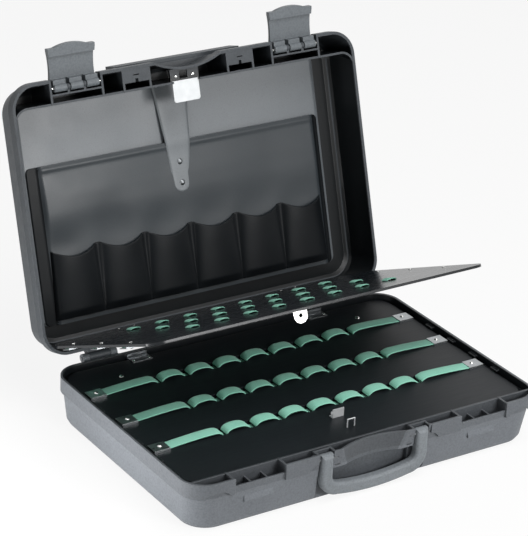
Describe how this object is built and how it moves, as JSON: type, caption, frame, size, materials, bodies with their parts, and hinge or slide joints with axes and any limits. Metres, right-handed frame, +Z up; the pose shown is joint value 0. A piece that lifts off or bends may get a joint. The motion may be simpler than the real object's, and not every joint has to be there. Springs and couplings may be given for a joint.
{
  "type": "hard tool case",
  "caption": "Grey hard tool case shown open, with two elastic-loop tool boards, a lid lined with soft pockets, two front latches and a fold-down handle.",
  "frame": {"origin": "centre of the flat underside of the base shell", "axes": "+X to the right along the front, +Y from the front with the handle to the rear with the hinges, +Z up"},
  "size_m": [0.46, 0.4567, 0.4006],
  "materials": {
    "moulded_polypropylene": "injection moulded, fine grain",
    "latch_plastic": "injection moulded, satin",
    "board_sheet": "smooth plastic sheet",
    "liner_leatherette": "satin artificial leather",
    "pocket_leatherette": "soft artificial leather",
    "green_elastic": "woven elastic",
    "plated_steel": "zinc plated",
    "bright_nickel": "polished nickel plate"
  },
  "bodies": {
    "base": {"base_shell": "moulded_polypropylene", "hinge_pins": "plated_steel", "handle_pins": "plated_steel", "board_hinge_plates": "bright_nickel"},
    "lid": {"lid_shell": "moulded_polypropylene", "latch_pins": "plated_steel", "panel_hinge_plates": "bright_nickel", "lid_liner": "liner_leatherette", "document_pocket": "pocket_leatherette", "tool_pockets": "pocket_leatherette", "closing_strap": "liner_leatherette", "strap_snaps": "bright_nickel", "strap_plate": "bright_nickel", "strap_plate_rivets": "bright_nickel"},
    "lower_board": {"base_board": "board_sheet", "board_hinge_pins": "bright_nickel", "board_hinge_leaves": "bright_nickel", "board_hinge_rivets": "bright_nickel", "base_elastic_rear": "green_elastic", "base_elastic_middle": "green_elastic", "base_elastic_front": "green_elastic", "base_end_clips": "bright_nickel", "base_clip_rivets": "bright_nickel", "base_studs": "bright_nickel", "catch_plate": "bright_nickel", "catch_staple": "bright_nickel"},
    "upper_panel": {"tool_panel": "board_sheet", "panel_hinge_pins": "bright_nickel", "panel_hinge_leaves": "bright_nickel", "panel_hinge_rivets": "bright_nickel", "panel_elastic_rear": "green_elastic", "panel_elastic_middle": "green_elastic", "panel_elastic_front": "green_elastic", "panel_end_clips": "bright_nickel", "panel_clip_rivets": "bright_nickel", "panel_tongue": "bright_nickel"},
    "left_latch": {"latch_left": "latch_plastic"},
    "right_latch": {"latch_right": "latch_plastic"},
    "handle": {"carry_handle": "moulded_polypropylene"}
  },
  "joints": [
    {"name": "lid_hinge", "type": "hinge", "parent": "base", "child": "lid", "pos_m": [0, 0.163, 0.06], "axis": [-1, 0, 0], "range_deg": [-107, 0]},
    {"name": "tool_panel_hinge", "type": "hinge", "parent": "lid", "child": "upper_panel", "pos_m": [0, 0.19725, 0.06599], "axis": [-1, 0, 0], "range_deg": [0, 82.5], "deforming": ["strap_plate"]},
    {"name": "base_board_hinge", "type": "hinge", "parent": "base", "child": "lower_board", "pos_m": [0, 0.14827, 0.0532], "axis": [-1, 0, 0], "range_deg": [0, 20]},
    {"name": "handle_pivot", "type": "hinge", "parent": "base", "child": "handle", "pos_m": [0, -0.151, 0.052], "axis": [-1, 0, 0], "range_deg": [0, 90]},
    {"name": "latch_left_pivot", "type": "hinge", "parent": "lid", "child": "left_latch", "pos_m": [-0.147, 0.25496, 0.35396], "axis": [-1, 0, 0], "range_deg": [-82, 0]},
    {"name": "latch_right_pivot", "type": "hinge", "parent": "lid", "child": "right_latch", "pos_m": [0.147, 0.25496, 0.35396], "axis": [-1, 0, 0], "range_deg": [-82, 0]}
  ],
  "couplings": [
    {"joint": "tool_panel_hinge", "follows": "lid_hinge", "ratio": -0.771}
  ]
}
